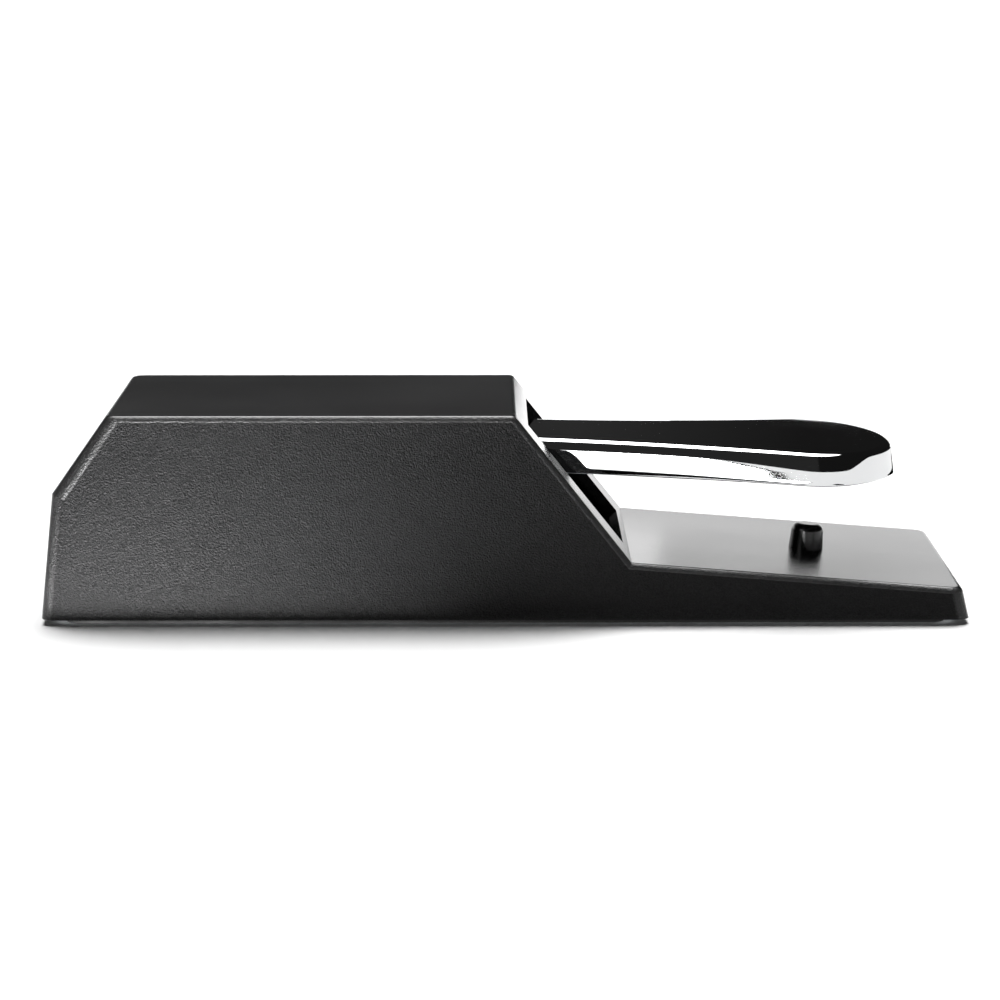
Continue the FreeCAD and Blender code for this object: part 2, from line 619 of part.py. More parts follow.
def pivot_bracket():
    """The folded steel bracket: a foot on the base plate and an ear each side of the pivot."""
    body = new_body("pivot_bracket")
    outer = "(dims.lever_half - dims.lever_thick - dims.bush_flange_thick - dims.ear_gap)"
    side = new_sketch(body, "bracket_side", "XZ_Plane")
    foot = "dims.bracket_half_length"
    head = "dims.bracket_head_half"
    outline(side, [
        ("dims.pivot_x - " + foot, PLATE_TOP), ("dims.pivot_x + " + foot, PLATE_TOP),
        ("dims.pivot_x + " + head, "dims.pivot_z + dims.bracket_head_r"),
        ("dims.pivot_x - " + head, "dims.pivot_z + dims.bracket_head_r"),
    ])
    add(body, "Pad", "block", side, "2 * " + outer, symmetric=True)
    inside = new_sketch(body, "bracket_inside", "YZ_Plane")
    gap = "(%s - dims.bracket_thick)" % outer
    rectangle(inside, "-" + gap, gap, PLATE_TOP + " + dims.bracket_thick", "dims.body_height")
    add(body, "Pocket", "channel", inside, "dims.body_length * 2", symmetric=True)
    bore = new_sketch(body, "shaft_bore_circle", "XZ_Plane")
    circle(bore, "dims.pivot_x", "dims.pivot_z", "dims.shaft_r")
    add(body, "Pocket", "shaft_bore", bore, "dims.body_width", symmetric=True)
    marks = new_sketch(body, "bolt_circles", "XY_Plane")
    for x, y in PIVOT_BOLTS:
        circle(marks, "%g" % x, "%g" % y, "dims.bolt_r")
    add(body, "Pocket", "bolt_holes", marks, "dims.pivot_z / 2", reverse=True)
    top = size("pivot_z")
    round_edges(body, "ear_corners", "dims.corner_round",
                lambda edge: along(edge, Y_AXIS) and middle(edge).z > top)
    return body


def pivot_parts():
    """Shaft, two flanged bushes in the lever's ears, and the clips on the shaft's ends."""
    shaft = new_body("pivot_shaft")
    half = new_sketch(shaft, "shaft_half", "XY_Plane")
    groove_end = "(dims.groove_y + dims.groove_wide)"
    outline(half, [
        ("0", "-dims.shaft_half"), ("dims.shaft_r", "-dims.shaft_half"), ("dims.shaft_r", "-" + groove_end),
        ("dims.groove_r", "-" + groove_end), ("dims.groove_r", "-dims.groove_y"),
        ("dims.shaft_r", "-dims.groove_y"), ("dims.shaft_r", "dims.groove_y"),
        ("dims.groove_r", "dims.groove_y"), ("dims.groove_r", groove_end), ("dims.shaft_r", groove_end),
        ("dims.shaft_r", "dims.shaft_half"), ("0", "dims.shaft_half"),
    ])
    revolve(shaft, "shaft_turn", half)
    shaft.Placement = at(size("pivot_x"), 0, size("pivot_z"))

    for label, side in (("pivot_bush_far", 1), ("pivot_bush_near", -1)):
        bush = new_body(label)
        ring = new_sketch(bush, label + "_half", "XY_Plane")
        inner = "dims.lever_half - dims.lever_thick"
        corners = [
            ("dims.bush_bore_r", inner + " - dims.bush_flange_thick"),
            ("dims.bush_flange_r", inner + " - dims.bush_flange_thick"),
            ("dims.bush_flange_r", inner), ("dims.bush_r", inner),
            ("dims.bush_r", "dims.lever_half"), ("dims.bush_bore_r", "dims.lever_half"),
        ]
        if side < 0:
            corners = [(across, "-(" + up + ")") for across, up in corners]
        outline(ring, corners)
        revolve(bush, label + "_turn", ring)
        bush.Placement = at(size("pivot_x"), 0, size("pivot_z"))

    clip = new_master("clip_master")
    ring = new_sketch(clip, "clip_rings", "XZ_Plane")
    circle(ring, "0", "0", "dims.clip_r")
    circle(ring, "0", "0", "dims.groove_r")
    add(clip, "Pad", "clip_ring", ring, "dims.clip_thick", symmetric=True)
    mouth = new_sketch(clip, "clip_mouth_outline", "XZ_Plane")
    rectangle(mouth, "-dims.clip_mouth", "dims.clip_mouth", "-dims.clip_r * 2", "0")
    add(clip, "Pocket", "clip_mouth", mouth, "dims.body_width", symmetric=True)
    middle_y = size("groove_y") + size("groove_wide") / 2
    group("shaft_clips", clip, [at(size("pivot_x"), side * middle_y, size("pivot_z")) for side in (-1, 1)])


# ---------------------------------------------------------------- spring, stops and bumper

def spring_parts():
    """The return spring between its cup on the base plate and the core of the lever."""
    cup = new_body("spring_cup")
    half = new_sketch(cup, "cup_half", "XZ_Plane")
    seat = PLATE_TOP + " + dims.cup_thick"
    lip_r = "dims.cup_r - dims.cup_lip_thick"
    outline(half, [
        ("0", "dims.mat_thick"), ("dims.cup_stub_r", "dims.mat_thick"), ("dims.cup_stub_r", PLATE_TOP),
        ("dims.cup_r", PLATE_TOP), ("dims.cup_r", seat + " + dims.cup_lip_tall"),
        (lip_r, seat + " + dims.cup_lip_tall"), (lip_r, seat), ("dims.spigot_r", seat),
        ("dims.spigot_r", seat + " + dims.spigot_tall"), ("0", seat + " + dims.spigot_tall"),
    ])
    revolve(cup, "cup_turn", half)
    cup.Placement = at(size("spring_x"), 0)

    low = size("mat_thick") + size("plate_thick") + size("cup_thick")
    wire_r = size("spring_wire_r")
    mean_r = size("spring_mean_r")
    rise = size("spring_top_z") - low - 2 * wire_r
    helix = Part.makeHelix(rise / size("spring_turns"), rise, mean_r)
    wire = Part.Wire(helix.Edges)
    section = Part.Wire(Part.makeCircle(wire_r, Vec(mean_r, 0, 0), Y_AXIS))
    coil = wire.makePipeShell([section], True, True)
    spring = doc.addObject("Part::Feature", "return_spring")
    spring.Label = "return_spring"
    spring.Shape = coil
    spring.Placement = at(size("spring_x"), 0, low + wire_r)
    nodes.append(spring)


def upper_stop():
    """The soft pad glued under the stop rib: the lever rests against it from below."""
    body = new_body("upper_stop_pad")
    plan = new_sketch(body, "pad_outline", "XY_Plane", "dims.stop_foot_z")
    rectangle(plan, "dims.stop_x - dims.stop_length / 2", "dims.stop_x + dims.stop_length / 2",
              "-dims.stop_width / 2", "dims.stop_width / 2")
    add(body, "Pad", "pad", plan, "dims.stop_pad_thick", reverse=True)
    round_edges(body, "pad_corners", "dims.stop_pad_round", lambda edge: along(edge, Z_AXIS))


def platform_frame():
    """The point of the toe platform under the bumper, turned to the platform's own slope."""
    fall = size("slope_foot_z") - size("toe_top_z")
    run = size("toe_top_x") - size("slope_foot_x")
    height = size("toe_top_z") + (size("toe_top_x") - size("bumper_x")) * fall / run
    tilt = FreeCAD.Rotation(Y_AXIS, math.degrees(math.atan2(fall, run)))
    return FreeCAD.Placement(Vec(size("bumper_x"), 0, height), tilt)


def bumper_parts():
    """The rubber bumper pulled through the platform, and the push-on washer that holds it."""
    post = new_body("bumper_post")
    half = new_sketch(post, "bumper_half", "XZ_Plane")
    outline(half, [
        ("0", "-dims.wall - dims.washer_thick - dims.barb_tall"),
        ("dims.bumper_tail_r", "-dims.wall - dims.washer_thick - dims.barb_tall"),
        ("dims.bumper_barb_r", "-dims.wall - dims.washer_thick"),
        ("dims.bumper_neck_r", "-dims.wall - dims.washer_thick"),
        ("dims.bumper_neck_r", "0"),
        ("dims.bumper_foot_r", "0"),
        ("dims.bumper_top_r", "dims.bumper_tall"),
        ("0", "dims.bumper_tall"),
    ])
    revolve(post, "bumper_turn", half)
    tall = size("bumper_tall")
    round_edges(post, "bumper_rim", "dims.bumper_round", lambda edge: abs(middle(edge).z - tall) < 0.01)
    post.Placement = platform_frame()

    washer = new_body("bumper_washer")
    rings = new_sketch(washer, "washer_rings", "XY_Plane", "-dims.wall - dims.washer_thick")
    circle(rings, "0", "0", "dims.washer_r")
    circle(rings, "0", "0", "dims.bumper_neck_r")
    add(washer, "Pad", "washer_ring", rings, "dims.washer_thick")
    washer.Placement = platform_frame()


# ---------------------------------------------------------------- microswitch

def microswitch():
    """A snap switch on its stand: case, plunger, leaf, terminals and screws."""
    top = "dims.switch_top_z"
    low = "(dims.switch_top_z - dims.switch_tall)"
    left = "dims.switch_x - dims.switch_long / 2"
    right = "dims.switch_x + dims.switch_long / 2"
    pivot_x = "(%s + dims.leaf_pivot_in)" % left
    plunger_x = "(%s + dims.plunger_from_pivot)" % pivot_x

    case = new_body("microswitch_case")
    side = new_sketch(case, "case_side", "XZ_Plane", "-dims.switch_y")
    rectangle(side, left, right, low, top)
    add(case, "Pad", "case_block", side, "dims.switch_wide", symmetric=True)
    horn = new_sketch(case, "horn_side", "XZ_Plane", "-dims.switch_y")
    rectangle(horn, left, pivot_x + " + dims.horn_margin", top,
              top + " + dims.leaf_pivot_up + dims.horn_margin")
    add(case, "Pad", "horns", horn, "dims.switch_wide", symmetric=True)
    gap = new_sketch(case, "horn_gap_side", "XZ_Plane", "-dims.switch_y")
    rectangle(gap, left + " - dims.horn_cut", pivot_x + " + dims.horn_cut", top, top + " + dims.horn_cut")
    add(case, "Pocket", "horn_gap", gap, "dims.leaf_wide + dims.horn_gap", symmetric=True)
    bore = new_sketch(case, "case_bores", "XZ_Plane", "-dims.switch_y")
    for sign in ("-", "+"):
        circle(bore, "dims.switch_x %s dims.switch_hole_dx" % sign, low + " + dims.switch_hole_up",
               "dims.switch_hole_r")
    add(case, "Pocket", "screw_bores", bore, "dims.body_width", symmetric=True)
    pin = new_sketch(case, "pin_bore", "XZ_Plane", "-dims.switch_y")
    circle(pin, pivot_x, top + " + dims.leaf_pivot_up", "dims.leaf_pin_r")
    add(case, "Pocket", "pin_bores", pin, "dims.body_width", symmetric=True)
    well = new_sketch(case, "plunger_well", "XY_Plane", top)
    circle(well, plunger_x, "dims.switch_y", "dims.plunger_r + dims.plunger_gap")
    add(case, "Pocket", "plunger_bore", well, "dims.well_deep")
    base_z = size("switch_top_z") - size("switch_tall")
    round_edges(case, "case_corners", "dims.case_round",
                lambda edge: along(edge, Y_AXIS) and abs(middle(edge).z - base_z) < 0.01)

    plunger = new_body("microswitch_plunger")
    disc = new_sketch(plunger, "plunger_circle", "XY_Plane", "dims.plunger_top_z")
    circle(disc, plunger_x, "dims.switch_y", "dims.plunger_r")
    add(plunger, "Pad", "plunger_pin", disc, "dims.plunger_deep", reverse=True)
    tip_z = size("plunger_top_z")
    round_edges(plunger, "plunger_tip", "dims.plunger_round",
                lambda edge: abs(middle(edge).z - tip_z) < 0.01)

    leaf = new_body("microswitch_leaf")
    strip = new_sketch(leaf, "leaf_side", "XZ_Plane")
    half_thick = "(dims.leaf_thick / 2)"
    rectangle(strip, "0", "dims.leaf_long", "-" + half_thick, half_thick)
    add(leaf, "Pad", "leaf_strip", strip, "dims.leaf_wide", symmetric=True)
    hub = new_sketch(leaf, "leaf_pin_circle", "XZ_Plane")
    circle(hub, "0", "0", "dims.leaf_pin_r - dims.leaf_pin_gap")
    add(leaf, "Pad", "leaf_pin", hub, "dims.switch_wide", symmetric=True)
    place_x = size("switch_x") - size("switch_long") / 2 + size("leaf_pivot_in")
    leaf.Placement = FreeCAD.Placement(
        Vec(place_x, size("switch_y"), size("switch_top_z") + size("leaf_pivot_up")),
        FreeCAD.Rotation(Y_AXIS, -size("leaf_angle_deg")))

    tab = new_master("terminal_master")
    blade = new_sketch(tab, "terminal_side", "YZ_Plane")
    rectangle(blade, "-dims.terminal_wide / 2", "dims.terminal_wide / 2", "-dims.terminal_tall", "0")
    circle(blade, "0", "-dims.terminal_tall + dims.eye_up", "dims.eye_r")
    add(tab, "Pad", "terminal_blade", blade, "dims.terminal_thick", symmetric=True)
    group("microswitch_terminals", tab,
          [at(size("switch_x") + i * size("terminal_dx"), size("switch_y"), base_z) for i in (-1, 0, 1)])

    stand = new_body("switch_stand")
    near = "(dims.switch_y + dims.switch_wide / 2)"
    section = new_sketch(stand, "stand_section", "YZ_Plane", "dims.switch_x")
    outline(section, [
        (near + " + dims.stand_thick", PLATE_TOP), (near + " + dims.stand_thick", "dims.stand_top_z"),
        (near, "dims.stand_top_z"), (near, PLATE_TOP + " + dims.stand_thick"),
        (near + " - dims.stand_foot", PLATE_TOP + " + dims.stand_thick"),
        (near + " - dims.stand_foot", PLATE_TOP),
    ])
    add(stand, "Pad", "stand_angle", section, "dims.switch_long", symmetric=True)
    holes = new_sketch(stand, "stand_bores", "XZ_Plane")
    for sign in ("-", "+"):
        circle(holes, "dims.switch_x %s dims.switch_hole_dx" % sign, low + " + dims.switch_hole_up",
               "dims.switch_hole_r")
    add(stand, "Pocket", "switch_bores", holes, "dims.body_width", symmetric=True)
    feet = new_sketch(stand, "stand_bolt_circles", "XY_Plane")
    for x, y in STAND_BOLTS:
        circle(feet, "%g" % x, "%g" % y, "dims.bolt_r")
    add(stand, "Pocket", "bolt_holes", feet, "dims.switch_top_z / 2", reverse=True)

    screw = new_master("switch_screw_master")
    half = new_sketch(screw, "switch_screw_half", "XY_Plane")
    reach = "(dims.switch_wide + dims.stand_thick + dims.switch_screw_end)"
    outline(half, [
        ("0", "-dims.switch_screw_head"), ("dims.switch_screw_head_r", "-dims.switch_screw_head"),
        ("dims.switch_screw_head_r", "0"), ("dims.switch_hole_r", "0"),
        ("dims.switch_hole_r", reach), ("0", reach),
    ])
    revolve(screw, "switch_screw_turn", half)
    y = size("switch_y") - size("switch_wide") / 2
    z = base_z + size("switch_hole_up")
    group("microswitch_screws", screw,
          [at(size("switch_x") + i * size("switch_hole_dx"), y, z) for i in (-1, 1)])


# ---------------------------------------------------------------- polarity switch and cord inlet

def polarity_switch():
    """The slide switch over the slot in the base plate, worked from below."""
    case = new_body("polarity_case")
    tabs = new_sketch(case, "tab_outline", "XY_Plane", PLATE_TOP)
    rectangle(tabs, "dims.polarity_x - dims.polarity_long / 2", "dims.polarity_x + dims.polarity_long / 2",
              "-dims.polarity_wide / 2", "dims.polarity_wide / 2")
    add(case, "Pad", "tabs", tabs, "dims.tab_thick")
    block = new_sketch(case, "case_outline", "XY_Plane", PLATE_TOP)
    rectangle(block, "dims.polarity_x - dims.polarity_case_long / 2",
              "dims.polarity_x + dims.polarity_case_long / 2",
              "-dims.polarity_wide / 2", "dims.polarity_wide / 2")
    add(case, "Pad", "case_block", block, "dims.polarity_tall")
    room = new_sketch(case, "room_outline", "XY_Plane", PLATE_TOP)
    reach = "(dims.knob_travel / 2 + dims.knob_long / 2 + dims.knob_gap)"
    across = "(dims.knob_wide / 2 + dims.knob_gap)"
    rectangle(room, "dims.polarity_x - " + reach, "dims.polarity_x + " + reach, "-" + across, across)
    add(case, "Pocket", "slider_room", room, "dims.slider_tall + dims.slider_gap", reverse=True)
    holes = new_sketch(case, "tab_circles", "XY_Plane", PLATE_TOP)
    for sign in ("-", "+"):
        circle(holes, "dims.polarity_x %s dims.tab_screw_dx" % sign, "0", "dims.tab_screw_r")
    add(case, "Pocket", "tab_holes", holes, "dims.tab_thick", reverse=True)

    knob = new_body("polarity_knob")
    plan = new_sketch(knob, "knob_outline", "XY_Plane", "dims.knob_low_z")
    start = "(dims.polarity_x - dims.knob_travel / 2 - dims.knob_long / 2)"
    rectangle(plan, start, start + " + dims.knob_long", "-dims.knob_wide / 2", "dims.knob_wide / 2")
    add(knob, "Pad", "knob_block", plan, PLATE_TOP + " + dims.slider_tall - dims.knob_low_z")
    low = size("knob_low_z")
    round_edges(knob, "knob_ends", "dims.knob_round",
                lambda edge: along(edge, Y_AXIS) and abs(middle(edge).z - low) < 0.01)

    screw = countersunk("tab_screw_master", "dims.tab_screw_r", "dims.tab_screw_head_r",
                        "dims.plate_thick + dims.tab_thick + dims.tab_screw_end")
    group("polarity_screws", screw,
          [at(size("polarity_x") + i * size("tab_screw_dx"), 0, size("mat_thick")) for i in (-1, 1)])


def cord_inlet():
    """The rubber grommet that sits flush in the rear wall and takes the cord."""
    body = new_body("cord_grommet")
    half = new_sketch(body, "grommet_half", "XZ_Plane")
    outline(half, [
        ("dims.inlet_face_x", "dims.cord_bore_r"),
        ("dims.inlet_face_x", "dims.inlet_flange_r - dims.inlet_gap"),
        ("dims.inlet_recess_x", "dims.inlet_flange_r - dims.inlet_gap"),
        ("dims.inlet_recess_x", "dims.inlet_hole_r"),
        ("dims.inlet_pad_x", "dims.inlet_hole_r"), ("dims.inlet_pad_x", "dims.inlet_clip_r"),
        ("dims.inlet_end_x", "dims.inlet_hole_r"), ("dims.inlet_end_x", "dims.cord_bore_r"),
    ])
    revolve(body, "grommet_turn", half, axis="H_Axis")
    body.Placement = at(0, 0, size("inlet_z"))


# ---------------------------------------------------------------- assembly and files

for make in (housing, base_plate, rubber_mat, fasteners_of_the_base, lever, lever_core, pivot_bracket,
             pivot_parts, spring_parts, upper_stop, bumper_parts, microswitch, polarity_switch, cord_inlet):
    make()
doc.recompute()

for item in doc.Objects:
    if "Invalid" in item.State or "Error" in item.State:
        raise RuntimeError("%s failed: %s" % (item.Name, item.State))
for node in nodes:
    if node.Shape.isNull() or not node.Shape.isValid():
        raise RuntimeError(node.Label + " has no valid shape")
    if node.Shape.Volume <= 0:
        raise RuntimeError(node.Label + " has no volume")
for node in nodes:
    node.Shape.exportStep("parts/" + node.Label + ".step")
    print("%-24s %9.1f mm3  %d solids" % (node.Label, node.Shape.Volume, len(node.Shape.Solids)))
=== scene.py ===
import json
import math

import bmesh
import bpy
from mathutils import Euler, Matrix, Vector


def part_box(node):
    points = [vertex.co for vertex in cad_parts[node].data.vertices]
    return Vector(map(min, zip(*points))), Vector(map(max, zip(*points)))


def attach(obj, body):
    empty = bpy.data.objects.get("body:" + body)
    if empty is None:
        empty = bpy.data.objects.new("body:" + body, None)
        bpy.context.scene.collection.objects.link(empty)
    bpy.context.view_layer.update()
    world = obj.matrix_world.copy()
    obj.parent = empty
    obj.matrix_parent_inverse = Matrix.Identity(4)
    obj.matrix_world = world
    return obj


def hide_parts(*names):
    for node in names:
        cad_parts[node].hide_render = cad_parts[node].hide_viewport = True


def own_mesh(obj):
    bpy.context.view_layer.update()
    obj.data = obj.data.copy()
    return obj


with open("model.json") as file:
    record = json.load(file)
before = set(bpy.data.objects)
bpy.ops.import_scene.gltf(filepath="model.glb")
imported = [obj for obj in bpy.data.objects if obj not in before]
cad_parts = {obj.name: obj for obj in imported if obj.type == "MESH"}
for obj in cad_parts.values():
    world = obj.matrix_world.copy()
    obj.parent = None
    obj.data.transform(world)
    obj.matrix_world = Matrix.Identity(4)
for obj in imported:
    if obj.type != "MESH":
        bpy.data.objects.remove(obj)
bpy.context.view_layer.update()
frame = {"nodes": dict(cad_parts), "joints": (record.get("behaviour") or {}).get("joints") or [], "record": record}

MM = 0.001
NODES = frame["nodes"]

# ---------------------------------------------------------------- sizes of the lever and spring

# lengths are in millimetres; x runs from the pivot towards the toe

LEVER_TILT = math.radians(1.7)
LEVER_TOP = 10.45
LEVER_SHEET = 1.8
LEVER_REAR = -14.0
LEVER_HALF = 18.9
FLARE_START = 85.7
FLARE_ROUND = 287.0
SHOULDER_ROUND = 14.8
TIP_ROUND = 40.1
LEVER_TIP = 203.2
EAR_R = 9.0
LIP_ROUND = 0.45
LEAST_INNER_ROUND = 0.3
ROLL_STEPS = 24
BUSH_R = 4.0
BUSH_CUT_LONG = 60.0
SHARP_ANGLE = 35

# how the lever's edge changes from the root to the toe: the roll's reach inwards and downwards,
# how far the flange leans outwards at its lip, and how deep it is
ROLL_IN = (3.2, 3.0)
ROLL_DOWN = (3.2, 5.0)
ROLL_GROWS = (140.0, 185.0)
TOE_ROLL_IN = (1.0, 0.75)
TOE_ROLL_DOWN = (1.0, 0.32)
TOE_STARTS = (187.0, 195.0)
TIP_LEAN = (0.0, 0.75)
TIP_STARTS = (197.0, 203.0)
FLANGE_LEAN = (0.0, 0.6)
LEAN_GROWS = (120.0, 195.0)
FLANGE_DEPTH = (9.6, 8.8)
DEPTH_CHANGES = (120.0, 200.0)

SPRING_WIRE_R = 0.9
SPRING_ACTIVE_TURNS = 6
SPRING_CLOSED_TURNS = 1.1
SPRING_STEPS_A_TURN = 40
SPRING_SIDES = 14


# ---------------------------------------------------------------- camera

CAMERA_PLACE = (-0.0064, -0.9963, 0.2084)
CAMERA_PITCH = math.radians(10.3)
CAMERA_YAW = math.radians(0.29)
CAMERA_LENS = 126.0


def make_camera():
    data = bpy.data.cameras.new("camera")
    data.lens = CAMERA_LENS
    data.sensor_width = 36.0
    data.clip_start = 0.05
    data.clip_end = 60.0
    camera = bpy.data.objects.new("camera", data)
    camera.location = CAMERA_PLACE
    camera.rotation_euler = Euler((math.pi / 2 - CAMERA_PITCH, 0.0, -CAMERA_YAW))
    bpy.context.scene.collection.objects.link(camera)
    bpy.context.scene.camera = camera


# ---------------------------------------------------------------- studio

def new_object(name, mesh):
    thing = bpy.data.objects.new(name, mesh)
    bpy.context.scene.collection.objects.link(thing)
    return thing


def flat(low, high, z):
    """The corners of a level rectangle from (x, y) low to high."""
    return [(low[0], low[1], z), (high[0], low[1], z), (high[0], high[1], z), (low[0], high[1], z)]


def upright(near, far, low, high):
    """The corners of an upright rectangle over the line from (x, y) near to far."""
    return [(*near, low), (*far, low), (*far, high), (*near, high)]


def new_panel(name, corners, material):
    mesh = bpy.data.meshes.new(name)
    mesh.from_pydata(corners, [], [(0, 1, 2, 3)])
    mesh.materials.append(material)
    return new_object(name, mesh)


def ranged(tree, source, start, end, low, high):
    """Maps a source from the range start to end onto the range low to high."""
    node = tree.nodes.new("ShaderNodeMapRange")
    node.inputs["From Min"].default_value = start
    node.inputs["From Max"].default_value = end
    node.inputs["To Min"].default_value = low
    node.inputs["To Max"].default_value = high
    tree.links.new(source, node.inputs["Value"])
    return node


def glow(name, strength, fade=None):
    """An emission; fade gives the x where it starts to weaken and the x where it has gone."""
    material = bpy.data.materials.new(name)
    material.use_nodes = True
    tree = material.node_tree
    tree.nodes.clear()
    emit = tree.nodes.new("ShaderNodeEmission")
    emit.inputs["Strength"].default_value = strength
    out = tree.nodes.new("ShaderNodeOutputMaterial")
    tree.links.new(emit.outputs[0], out.inputs["Surface"])
    if fade:
        where = tree.nodes.new("ShaderNodeTexCoord")
        split = tree.nodes.new("ShaderNodeSeparateXYZ")
        tree.links.new(where.outputs["Object"], split.inputs[0])
        weaken = ranged(tree, split.outputs["X"], *fade, strength, 0.0)
        tree.links.new(weaken.outputs["Result"], emit.inputs["Strength"])
    return material


def studio_card(name, corners, strength, fade=None):
    """A white or black card that only shows in reflections."""
    card = new_panel(name, corners, glow(name + "_face", strength, fade))
    card.visible_camera = False
    card.visible_diffuse = False
    card.visible_shadow = False
    card.visible_transmission = False
    card.visible_volume_scatter = False
    return card


# the studio's lengths are in metres
SOFTBOX_LEAN = math.radians(24)
SOFTBOX_WAY = (0.0, math.sin(SOFTBOX_LEAN), math.cos(SOFTBOX_LEAN))
SOFTBOX_HALF_ANGLE = 22.0
SOFTBOX_SOFT_EDGE = 3.0
SOFTBOX_GLOW = 14.0
ROOM_GLOW = (0.036, 0.013)
ROOM_FADE = (0.035, 0.10)
CARD_GLOW = 1.6
SLANT_GLOW = 3.2
FLOOR_GLOW = 43.0
EDGE_GLOW = 4.0
PATCH_Z = 0.002
FLOOR_Z = -0.0001
FLOOR_REACH = 12.0
BELOW_GLOW = 1.3
FLOOR_CLEAR = 0.005


def make_world():
    """A round softbox above and a little behind the pedal, in a dark room; the camera sees white."""
    world = bpy.data.worlds.new("studio")
    bpy.context.scene.world = world
    world.use_nodes = True
    tree = world.node_tree
    tree.nodes.clear()
    where = tree.nodes.new("ShaderNodeTexCoord")
    facing = tree.nodes.new("ShaderNodeVectorMath")
    facing.operation = "DOT_PRODUCT"
    facing.inputs[1].default_value = SOFTBOX_WAY
    tree.links.new(where.outputs["Generated"], facing.inputs[0])
    split = tree.nodes.new("ShaderNodeSeparateXYZ")
    tree.links.new(where.outputs["Generated"], split.inputs[0])
    room = ranged(tree, split.outputs["X"], *ROOM_FADE, *ROOM_GLOW)
    edge = ranged(tree, facing.outputs["Value"],
                  math.cos(math.radians(SOFTBOX_HALF_ANGLE + SOFTBOX_SOFT_EDGE)),
                  math.cos(math.radians(SOFTBOX_HALF_ANGLE - SOFTBOX_SOFT_EDGE)), 0.0, SOFTBOX_GLOW)
    edge.interpolation_type = "SMOOTHSTEP"
    tree.links.new(room.outputs["Result"], edge.inputs["To Min"])
    below = ranged(tree, split.outputs["Z"], 0.0, -0.5, 0.0, BELOW_GLOW)
    lit = tree.nodes.new("ShaderNodeBackground")
    total = tree.nodes.new("ShaderNodeMath")
    tree.links.new(edge.outputs["Result"], total.inputs[0])
    tree.links.new(below.outputs["Result"], total.inputs[1])
    tree.links.new(total.outputs[0], lit.inputs["Strength"])
    seen = tree.nodes.new("ShaderNodeBackground")
    seen.inputs["Color"].default_value = (1, 1, 1, 1)
    path = tree.nodes.new("ShaderNodeLightPath")
    mix = tree.nodes.new("ShaderNodeMixShader")
    out = tree.nodes.new("ShaderNodeOutputWorld")
    tree.links.new(path.outputs["Is Camera Ray"], mix.inputs["Fac"])
    tree.links.new(lit.outputs[0], mix.inputs[1])
    tree.links.new(seen.outputs[0], mix.inputs[2])
    tree.links.new(mix.outputs[0], out.inputs["Surface"])


def make_floor():
    """A pale floor that is clear from below and to what rests on it, so the underside can be seen."""
    pale = bpy.data.materials.new("floor_white")
    pale.use_nodes = True
    shader = pale.node_tree.nodes["Principled BSDF"]
    shader.inputs["Base Color"].default_value = (0.9, 0.9, 0.9, 1)
    shader.inputs["Roughness"].default_value = 0.9
    shader.inputs["Specular IOR Level"].default_value = 0.0
    tree = pale.node_tree
    under = tree.nodes.new("ShaderNodeNewGeometry")
    clear = tree.nodes.new("ShaderNodeBsdfTransparent")
    mix = tree.nodes.new("ShaderNodeMixShader")
    path = tree.nodes.new("ShaderNodeLightPath")
    near = tree.nodes.new("ShaderNodeMath")
    near.operation = "LESS_THAN"
    near.inputs[1].default_value = FLOOR_CLEAR
    either = tree.nodes.new("ShaderNodeMath")
    either.operation = "MAXIMUM"
    tree.links.new(path.outputs["Ray Length"], near.inputs[0])
    tree.links.new(near.outputs[0], either.inputs[0])
    tree.links.new(under.outputs["Backfacing"], either.inputs[1])
    tree.links.new(either.outputs[0], mix.inputs["Fac"])
    tree.links.new(shader.outputs[0], mix.inputs[1])
    tree.links.new(clear.outputs[0], mix.inputs[2])
    tree.links.new(mix.outputs[0], tree.nodes["Material Output"].inputs["Surface"])
    corners = flat((-FLOOR_REACH, -FLOOR_REACH), (FLOOR_REACH, FLOOR_REACH), FLOOR_Z)
    floor = new_panel("floor", corners, pale)


def floor_patch(name, low, high, strength, fade=None):
    """A patch just above the floor, from corner low to corner high, that only shows in reflections."""
    studio_card(name, flat(low, high, PATCH_Z), strength, fade)


def make_studio():
    make_camera()
    make_world()
    make_floor()
    studio_card("back_card", upright((-0.9, 0.075), (0.15, 0.075), 0.001, 0.053), CARD_GLOW)
    studio_card("slant_card", upright((-0.02, 0.074), (0.052, 0.074), 0.034, 0.055), SLANT_GLOW)
    floor_patch("side_glow", (-0.168, -0.50), (0.01, -0.05), FLOOR_GLOW, fade=(-0.10, -0.006))
    floor_patch("rear_flag", (-0.90, -0.60), (-0.168, 0.30), 0.0)
    floor_patch("toe_flag", (0.10, 0.12), (0.26, 0.45), 0.0)
    studio_card("rear_edge_card", upright((-0.72, -0.55), (-0.50, -0.72), 0.24, 0.42), EDGE_GLOW)
    floor_patch("shoulder_flag", (0.185, -0.18), (0.235, -0.105), 0.0)
    bpy.context.scene.view_settings.view_transform = "Standard"


# ---------------------------------------------------------------- materials

